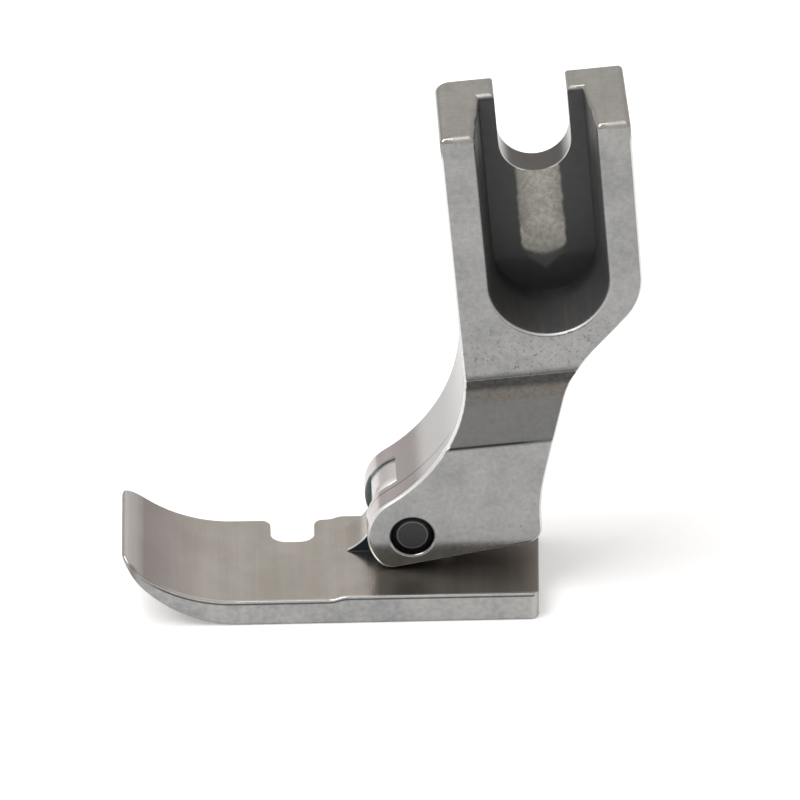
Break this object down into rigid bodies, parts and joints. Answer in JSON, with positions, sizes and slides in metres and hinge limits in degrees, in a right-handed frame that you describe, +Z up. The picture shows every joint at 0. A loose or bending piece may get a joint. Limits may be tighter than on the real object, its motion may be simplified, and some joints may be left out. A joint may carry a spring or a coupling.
{
  "type": "sewing machine presser foot",
  "caption": "Hinged presser foot with a narrow one-sided sole, an upturned toe and a needle notch, on a shank with a presser bar channel and an open clamp screw slot.",
  "frame": {"origin": "on the sole's underside, below the hinge pin axis and midway across the hinge lug", "axes": "-X toward the toe, +Y toward the side with the needle notch, +Z up from the sole to the top of the shank"},
  "size_m": [0.0363, 0.0113, 0.0381],
  "materials": {
    "shank": "satin ground steel with rounded, brighter edges and a dark oxide skin inside the channel",
    "sole": "polished top and toe, matt mottled sides",
    "hinge_pin": "black oxide steel"
  },
  "bodies": {
    "shank": {"shank": "shank", "hinge_pin": "hinge_pin"},
    "sole": {"sole": "sole"}
  },
  "joints": [
    {"name": "sole_tilt", "type": "hinge", "parent": "shank", "child": "sole", "pos_m": [0, 0, 0.00488], "axis": [0, -1, 0], "range_deg": [0, 12]}
  ]
}
